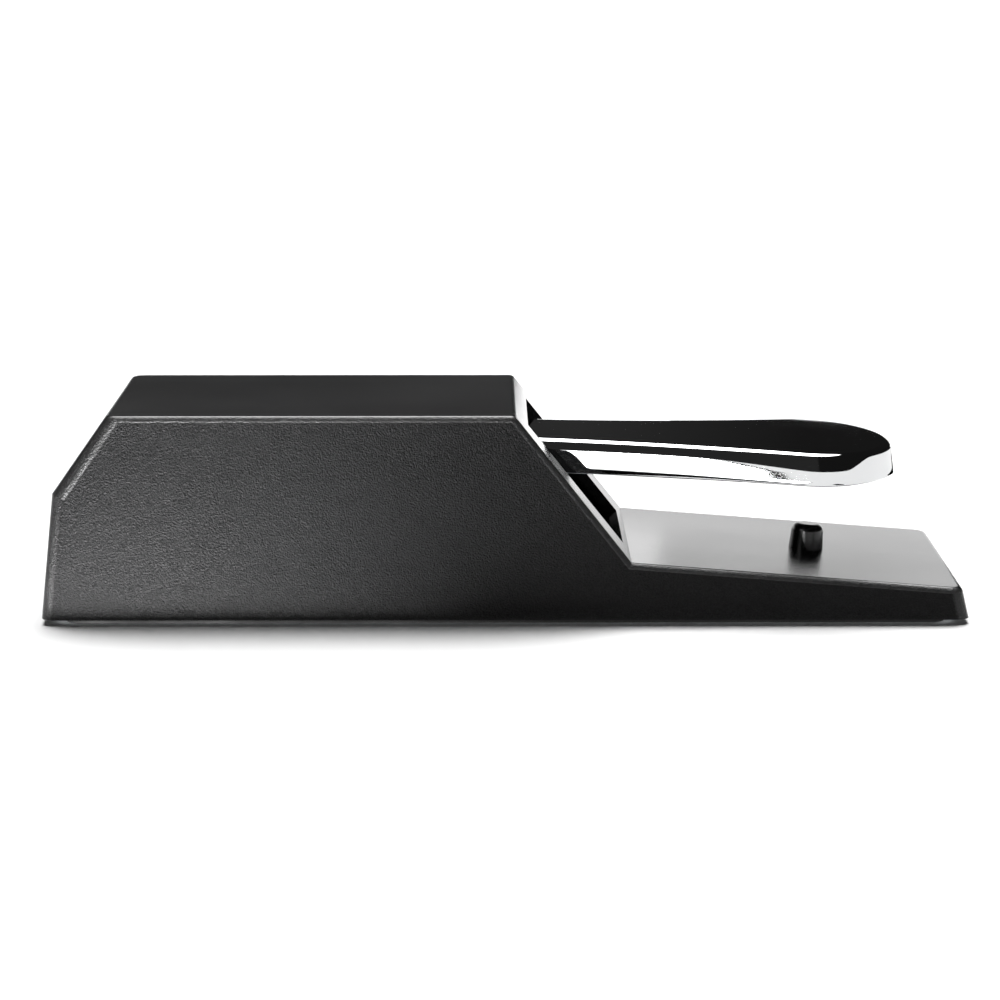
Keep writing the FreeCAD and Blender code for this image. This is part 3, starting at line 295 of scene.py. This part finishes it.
class Finish:
    """A procedural surface: a Principled shader with helpers for what drives it.

    The plain colour and roughness stand in wherever the nodes that drive them aren't read.
    """

    def __init__(self, name, colour, roughness, metallic=0.0):
        self.material = bpy.data.materials.new(name)
        self.material.use_nodes = True
        self.tree = self.material.node_tree
        self.shader = self.tree.nodes["Principled BSDF"]
        self.shader.inputs["Base Color"].default_value = (*colour, 1)
        self.shader.inputs["Roughness"].default_value = roughness
        self.shader.inputs["Metallic"].default_value = metallic
        self.place = self.tree.nodes.new("ShaderNodeTexCoord").outputs["Object"]
        self.relief = None

    def link(self, source, target):
        self.tree.links.new(source, target)

    def stretched(self, scale):
        node = self.tree.nodes.new("ShaderNodeMapping")
        node.inputs["Scale"].default_value = scale
        self.link(self.place, node.inputs["Vector"])
        return node.outputs["Vector"]

    def noise(self, scale, detail=3.0, rough=0.5, place=None):
        node = self.tree.nodes.new("ShaderNodeTexNoise")
        node.inputs["Scale"].default_value = scale
        node.inputs["Detail"].default_value = detail
        node.inputs["Roughness"].default_value = rough
        self.link(place or self.place, node.inputs["Vector"])
        return node.outputs["Fac"]

    def cells(self, scale, smooth):
        node = self.tree.nodes.new("ShaderNodeTexVoronoi")
        node.feature = "SMOOTH_F1"
        node.inputs["Scale"].default_value = scale
        node.inputs["Smoothness"].default_value = smooth
        self.link(self.place, node.inputs["Vector"])
        return node.outputs["Distance"]

    def span(self, source, low, high, from_low=0.3, from_high=0.7):
        """Maps a texture's value to the range low to high."""
        node = self.tree.nodes.new("ShaderNodeMapRange")
        node.inputs["From Min"].default_value = from_low
        node.inputs["From Max"].default_value = from_high
        node.inputs["To Min"].default_value = low
        node.inputs["To Max"].default_value = high
        self.link(source, node.inputs["Value"])
        return node.outputs["Result"]

    def combine(self, operation, one, two):
        """Math on two sources; either may be a number."""
        node = self.tree.nodes.new("ShaderNodeMath")
        node.operation = operation
        for socket, value in zip(node.inputs, (one, two)):
            if isinstance(value, (int, float)):
                socket.default_value = value
            else:
                self.link(value, socket)
        return node.outputs[0]

    def blended(self, source, share):
        """The source where share is 1, and 1 where it is 0."""
        node = self.tree.nodes.new("ShaderNodeMix")
        node.inputs["A"].default_value = 1.0
        self.link(source, node.inputs["B"])
        self.link(share, node.inputs["Factor"])
        return node.outputs["Result"]

    def facing(self, axis):
        """How squarely the surface faces along one world axis, from 0 to 1."""
        geometry = self.tree.nodes.new("ShaderNodeNewGeometry")
        dot = self.tree.nodes.new("ShaderNodeVectorMath")
        dot.operation = "DOT_PRODUCT"
        dot.inputs[1].default_value = axis
        self.link(geometry.outputs["Normal"], dot.inputs[0])
        return self.combine("ABSOLUTE", dot.outputs["Value"], 0.0)

    def height(self):
        node = self.tree.nodes.new("ShaderNodeSeparateXYZ")
        self.link(self.place, node.inputs[0])
        return node.outputs["Z"]

    def colours(self, source, dark, light):
        node = self.tree.nodes.new("ShaderNodeMix")
        node.data_type = "RGBA"
        node.inputs["A"].default_value = (*dark, 1)
        node.inputs["B"].default_value = (*light, 1)
        self.link(source, node.inputs["Factor"])
        self.link(node.outputs["Result"], self.shader.inputs["Base Color"])

    def roughness(self, source):
        self.link(source, self.shader.inputs["Roughness"])

    def bump(self, height, distance, strength=1.0):
        """Adds relief on top of any relief that is there already."""
        node = self.tree.nodes.new("ShaderNodeBump")
        node.inputs["Strength"].default_value = strength
        node.inputs["Distance"].default_value = distance
        self.link(height, node.inputs["Height"])
        if self.relief:
            self.link(self.relief, node.inputs["Normal"])
        self.relief = node.outputs["Normal"]
        self.link(self.relief, self.shader.inputs["Normal"])


def shades(colour, low=0.85, high=1.12):
    """A darker and a lighter version of a colour."""
    return tuple(low * c for c in colour), tuple(min(1.0, high * c) for c in colour)


# what share of a wall's normal may point up, where its grain ends, and which faces count as level
WALL_TILT = (0.087, 0.141)
GRAIN_ENDS = (0.3, 0.6)
LEVEL_FACE = (0.985, 0.995)
PLATFORM_HEIGHT = (0.022, 0.030)
GRAIN_DEEP = 0.0002
PLATFORM_GRAIN_DEEP = 0.00003
SMOOTH_ROUGHNESS = 0.24
GRAIN_ROUGHNESS = 0.18
SMOOTH_SPECULAR = 0.5
WALL_SPECULAR = 0.06


def moulded_black():
    """Black ABS: leather grain on the walls and their rounded borders, finer grain on the platform.

    The top and the slanted faces are smooth.
    """
    made = Finish("moulded_black", (0.022, 0.022, 0.0225), 0.4)
    side = made.span(made.facing((0, 0, 1)), 1, 0, *WALL_TILT)
    grained = made.combine("MAXIMUM", side, made.span(made.facing((0, 1, 0)), 0, 1, *GRAIN_ENDS))
    up = made.span(made.facing((0, 0, 1)), 0, 1, *LEVEL_FACE)
    low_down = made.span(made.height(), 1, 0, *PLATFORM_HEIGHT)
    platform = made.combine("MULTIPLY", up, low_down)

    cloud = made.noise(14, detail=5.0)
    made.colours(made.span(cloud, 0, 1), *shades((0.013, 0.013, 0.0133)))
    grain = made.combine("ADD", made.noise(2300, detail=2.0, rough=0.6),
                         made.combine("MULTIPLY", made.cells(1900, smooth=0.35), 0.5))
    fine = made.noise(2100, detail=2.0)
    made.bump(made.combine("MULTIPLY", grain, grained), GRAIN_DEEP)
    made.bump(made.combine("MULTIPLY", fine, platform), PLATFORM_GRAIN_DEEP)
    rough = made.combine("MULTIPLY_ADD", grained, GRAIN_ROUGHNESS)
    rough.node.inputs[2].default_value = SMOOTH_ROUGHNESS
    made.roughness(made.combine("ADD", rough, made.span(cloud, -0.03, 0.03)))
    speckle = made.span(made.noise(2200, detail=2.0), 0.3, 1.7)
    level = made.span(side, SMOOTH_SPECULAR, WALL_SPECULAR, 0, 1)
    made.link(made.combine("MULTIPLY", level, made.blended(speckle, side)),
              made.shader.inputs["Specular IOR Level"])
    return made.material


def chrome():
    """Bright chrome on pressed steel: almost a mirror, with the faint waves of polishing."""
    made = Finish("lever_chrome", (0.6, 0.605, 0.61), 0.03, metallic=1.0)
    smear = made.noise(22, detail=5.0)
    made.roughness(made.span(smear, 0.012, 0.045))
    made.colours(made.span(smear, 0, 1), (0.58, 0.585, 0.59), (0.61, 0.615, 0.62))
    made.bump(made.noise(1.0, detail=0.0, place=made.stretched((14, 420, 120))), 0.000006)
    made.bump(made.noise(38, detail=1.0), 0.00001)
    return made.material


def rubber(name, grey, rough, grain_scale, relief):
    made = Finish(name, (grey, grey, grey), rough)
    spots = made.noise(60, detail=4.0)
    made.colours(made.span(spots, 0, 1), *shades((grey, grey, grey), 0.75, 1.3))
    made.roughness(made.span(spots, rough * 0.85, rough * 1.15))
    made.bump(made.noise(grain_scale, detail=3.0), relief, 0.5)
    return made.material


def plastic(name, colour, rough):
    made = Finish(name, colour, rough)
    cloud = made.noise(45, detail=3.0)
    made.colours(made.span(cloud, 0, 1), *shades(colour))
    made.roughness(made.span(cloud, rough * 0.85, rough * 1.2))
    made.bump(made.noise(1400, detail=2.0), 0.00004, 0.4)
    return made.material


def steel(name, colour, rough, stretch=(30, 900, 900)):
    """Metal with fine lines along one way and a patchy plating."""
    made = Finish(name, colour, rough, metallic=1.0)
    lines = made.noise(1.0, detail=2.0, place=made.stretched(stretch))
    patches = made.noise(35, detail=4.0)
    made.colours(made.span(patches, 0, 1), *shades(colour, 0.8, 1.0))
    made.roughness(made.span(patches, rough * 0.8, rough * 1.25))
    made.bump(lines, 0.00003, 0.35)
    return made.material


def make_slots():
    return {
        "moulded_black": moulded_black(),
        "lever_chrome": chrome(),
        "core_plastic": plastic("core_plastic", (0.02, 0.02, 0.02), 0.45),
        "bumper_rubber": rubber("bumper_rubber", 0.008, 0.25, 300, 0.00003),
        "mat_rubber": rubber("mat_rubber", 0.012, 0.8, 900, 0.00015),
        "zinc_steel": steel("zinc_steel", (0.56, 0.58, 0.6), 0.32),
        "screw_steel": steel("screw_steel", (0.5, 0.5, 0.52), 0.3),
        "shaft_steel": steel("shaft_steel", (0.62, 0.62, 0.63), 0.18),
        "spring_steel": steel("spring_steel", (0.4, 0.4, 0.42), 0.28),
        "cup_plastic": plastic("cup_plastic", (0.72, 0.71, 0.66), 0.4),
        "pad_rubber": rubber("pad_rubber", 0.03, 0.85, 500, 0.0001),
        "switch_plastic": plastic("switch_plastic", (0.03, 0.03, 0.032), 0.4),
        "switch_metal": steel("switch_metal", (0.58, 0.58, 0.58), 0.3),
        "contact_brass": steel("contact_brass", (0.7, 0.6, 0.38), 0.25),
        "plunger_plastic": plastic("plunger_plastic", (0.5, 0.04, 0.03), 0.3),
        "knob_plastic": plastic("knob_plastic", (0.02, 0.02, 0.02), 0.3),
    }


# ---------------------------------------------------------------- lever

def smooth_step(value, low, high):
    share = min(1.0, max(0.0, (value - low) / (high - low)))
    return share * share * (3 - 2 * share)


def between(pair, share):
    return pair[0] + (pair[1] - pair[0]) * share


def arc_points(centre, radius, start, end, step):
    """Points on an arc from angle start to end, without the first; each with its angle."""
    count = max(2, math.ceil(abs(end - start) * radius / step))
    for i in range(1, count + 1):
        turn = start + (end - start) * i / count
        yield centre + radius * Vector((math.cos(turn), math.sin(turn))), turn


def lever_half_outline():
    """The lever's plan from its rear to the middle of its toe.

    Each step is a point and the outward direction there.
    """
    flare_c = Vector((FLARE_START, LEVER_HALF + FLARE_ROUND))
    tip_c = Vector((LEVER_TIP - TIP_ROUND, 0.0))
    far = FLARE_ROUND + SHOULDER_ROUND
    near = TIP_ROUND - SHOULDER_ROUND
    span = flare_c - tip_c
    along = (near ** 2 - far ** 2 + span.length ** 2) / (2 * span.length)
    aside = math.sqrt(near ** 2 - along ** 2)
    unit = span.normalized()
    shoulder_c = tip_c + unit * along + Vector((unit.y, -unit.x)) * aside

    steps = [(Vector((x, LEVER_HALF)), Vector((0, 1)))
             for x in [LEVER_REAR + 0.5 * i for i in range(49)] + [12 + 5 * i for i in range(15)]]
    to_shoulder = shoulder_c - flare_c
    join = math.atan2(to_shoulder.y, to_shoulder.x)
    for point, turn in arc_points(flare_c, FLARE_ROUND, -math.pi / 2, join, 2.5):
        steps.append((point, -Vector((math.cos(turn), math.sin(turn)))))
    from_tip = shoulder_c - tip_c
    tip_join = math.atan2(from_tip.y, from_tip.x)
    for point, turn in arc_points(shoulder_c, SHOULDER_ROUND, join + math.pi, tip_join, 0.5):
        steps.append((point, Vector((math.cos(turn), math.sin(turn)))))
    for point, turn in arc_points(tip_c, TIP_ROUND, tip_join, 0.0, 0.8):
        steps.append((point, Vector((math.cos(turn), math.sin(turn)))))
    return steps


def lever_profile(x):
    """The section of the lever's edge at one place along it, as (outwards, up) from the outline's top.

    It runs from the flat top over the rolled edge, down the flange, round its lip and up inside.
    """
    grown = smooth_step(x, *ROLL_GROWS)
    toe = smooth_step(x, *TOE_STARTS)
    reach = between(ROLL_IN, grown) * between(TOE_ROLL_IN, toe)
    drop = between(ROLL_DOWN, grown) * between(TOE_ROLL_DOWN, toe)
    lean = between(FLANGE_LEAN, smooth_step(x, *LEAN_GROWS))
    lean += between(TIP_LEAN, smooth_step(x, *TIP_STARTS))
    low = -between(FLANGE_DEPTH, smooth_step(x, *DEPTH_CHANGES))
    flange = -low
    if abs(x) < EAR_R:
        low = min(low, -LEVER_TOP - math.sqrt(EAR_R ** 2 - x ** 2))
    inner = max(LEAST_INNER_ROUND, reach - LEVER_SHEET)
    inner_drop = max(LEAST_INNER_ROUND, drop - LEVER_SHEET)
    points = []
    for i in range(ROLL_STEPS + 1):
        turn = math.pi / 2 * i / ROLL_STEPS
        points.append((reach * (math.sin(turn) - 1), drop * (math.cos(turn) - 1)))
    for i in range(1, 4):
        points.append((0.0, -drop + (low + LIP_ROUND + drop) * i / 4))
    for i in range(5):
        turn = math.pi / 2 * i / 4
        points.append((LIP_ROUND * (math.cos(turn) - 1), low + LIP_ROUND * (1 - math.sin(turn))))
    for i in range(5):
        turn = math.pi / 2 * (1 + i / 4)
        points.append((LIP_ROUND * (1 + math.cos(turn)) - LEVER_SHEET,
                       low + LIP_ROUND * (1 - math.sin(turn))))
    for i in range(7):
        turn = math.pi / 2 * (1 - i / 6)
        points.append((-LEVER_SHEET - inner + inner * math.sin(turn),
                       -LEVER_SHEET - inner_drop + inner_drop * math.cos(turn)))
    return [(q - lean * z / flange, z) for q, z in points]


def cut_round_hole(thing, radius, deep):
    """Cuts a hole along Y through the object's origin."""
    form = bmesh.new()
    bmesh.ops.create_cone(form, cap_ends=True, segments=64, radius1=radius, radius2=radius, depth=deep,
                          matrix=Matrix.Rotation(math.pi / 2, 4, "X"))
    mesh = bpy.data.meshes.new("cutter")
    form.to_mesh(mesh)
    form.free()
    cutter = new_object("cutter", mesh)
    rule = thing.modifiers.new("hole", "BOOLEAN")
    rule.operation = "DIFFERENCE"
    rule.solver = "EXACT"
    rule.object = cutter
    graph = bpy.context.evaluated_depsgraph_get()
    result = bpy.data.meshes.new_from_object(thing.evaluated_get(graph))
    thing.modifiers.clear()
    thing.data = result
    bpy.data.objects.remove(cutter)


def smooth(mesh, degrees):
    for face in mesh.polygons:
        face.use_smooth = True
    mesh.set_sharp_from_angle(angle=math.radians(degrees))


# how the flat top is divided across; the narrow outer lanes keep its shading flat
LANES = (0.006, 0.015, 0.25, 0.5, 0.75, 0.985, 0.994)


def make_lever():
    """The pressed lever as one closed sheet: flat top, growing rolled edge, flanges and round ears."""
    half = lever_half_outline()
    around = half + [(Vector((p.x, -p.y)), Vector((n.x, -n.y))) for p, n in reversed(half[:-1])]
    form = bmesh.new()
    rings = []
    for point, out in around:
        rings.append([form.verts.new(((point.x + out.x * q) * MM, (point.y + out.y * q) * MM,
                                      (LEVER_TOP + z) * MM)) for q, z in lever_profile(point.x)])
    for one, two in zip(rings, rings[1:]):
        for k in range(len(one) - 1):
            form.faces.new((one[k], one[k + 1], two[k + 1], two[k]))

    def sheet(k, flip):
        """Closes the flat between the far and near edges of the profile's point k."""
        tip = len(half) - 1
        rows = []
        for i in range(tip):
            far, near = rings[i][k], rings[len(around) - 1 - i][k]
            middle = [form.verts.new(far.co.lerp(near.co, share)) for share in LANES]
            rows.append([far] + middle + [near])
        lanes = len(LANES) + 1
        for one, two in zip(rows, rows[1:]):
            for j in range(lanes):
                quad = (one[j], two[j], two[j + 1], one[j + 1])
                form.faces.new(reversed(quad) if flip else quad)
        point = rings[tip][k]
        for j in range(lanes):
            fan = (rows[-1][j], point, rows[-1][j + 1])
            form.faces.new(reversed(fan) if flip else fan)
        return rows[0]

    top_edge = sheet(0, True)
    inner_edge = sheet(len(rings[0]) - 1, False)
    for j in range(len(top_edge) - 1):
        form.faces.new((top_edge[j], top_edge[j + 1], inner_edge[j + 1], inner_edge[j]))
    form.faces.new(rings[0])
    form.faces.new(list(reversed(rings[-1])))
    bmesh.ops.recalc_face_normals(form, faces=form.faces)
    mesh = bpy.data.meshes.new("lever_chromed")
    form.to_mesh(mesh)
    form.free()
    lever = new_object("lever_chromed", mesh)
    cut_round_hole(lever, BUSH_R * MM, BUSH_CUT_LONG * MM)
    smooth(lever.data, SHARP_ANGLE)
    joint = next(j for j in frame["joints"] if j["name"] == "lever_pivot")
    placing = Matrix.Translation(joint["pos_m"]) @ Matrix.Rotation(LEVER_TILT, 4, "Y")
    lever.data.transform(placing)
    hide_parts("lever")
    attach(lever, "lever")
    return lever


# ---------------------------------------------------------------- return spring

def make_spring():
    """A compression spring with a closed, ground turn at each end."""
    low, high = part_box("return_spring")
    centre = (low + high) / 2
    wire = SPRING_WIRE_R * MM
    mean = (high.x - low.x) / 2 - wire
    foot, head = low.z + wire, high.z - wire
    closed = SPRING_CLOSED_TURNS
    turns = SPRING_ACTIVE_TURNS + 2 * closed
    steps = int(turns * SPRING_STEPS_A_TURN)
    closed_rise = 2 * wire * closed
    path = []
    for i in range(steps + 1):
        turn = turns * i / steps
        if turn < closed:
            z = foot + closed_rise * turn / closed
        elif turn > turns - closed:
            z = head - closed_rise * (turns - turn) / closed
        else:
            share = (turn - closed) / (turns - 2 * closed)
            z = foot + closed_rise + (head - foot - 2 * closed_rise) * share
        angle = 2 * math.pi * turn
        path.append(Vector((centre.x + mean * math.cos(angle), centre.y + mean * math.sin(angle), z)))
    form = bmesh.new()
    sides = SPRING_SIDES
    rings = []
    for i, point in enumerate(path):
        ahead = path[min(i + 1, steps)] - path[max(i - 1, 0)]
        outward = Vector((point.x - centre.x, point.y - centre.y, 0)).normalized()
        up = outward.cross(ahead).normalized()
        ring = []
        for j in range(sides):
            turn = 2 * math.pi * j / sides
            spot = point + outward * wire * math.cos(turn) + up * wire * math.sin(turn)
            spot.z = min(max(spot.z, low.z), high.z)
            ring.append(form.verts.new(spot))
        rings.append(ring)
    for one, two in zip(rings, rings[1:]):
        for j in range(sides):
            form.faces.new((one[j], one[(j + 1) % sides], two[(j + 1) % sides], two[j]))
    form.faces.new(rings[0])
    form.faces.new(rings[-1])
    bmesh.ops.recalc_face_normals(form, faces=form.faces)
    mesh = bpy.data.meshes.new("spring_coil")
    form.to_mesh(mesh)
    form.free()
    smooth(mesh, 40)
    spring = new_object("spring_coil", mesh)
    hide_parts("return_spring")
    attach(spring, "base")
    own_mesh(spring)
    return spring


# ---------------------------------------------------------------- assembly

make_studio()
SLOTS = make_slots()
for entry in frame["record"]["subparts"]:
    thing = NODES[entry["node"]]
    thing.data.materials.clear()
    thing.data.materials.append(SLOTS[entry["material_slot"]])
for piece, slot in ((make_lever(), "lever_chrome"), (make_spring(), "spring_steel")):
    piece.data.materials.clear()
    piece.data.materials.append(SLOTS[slot])
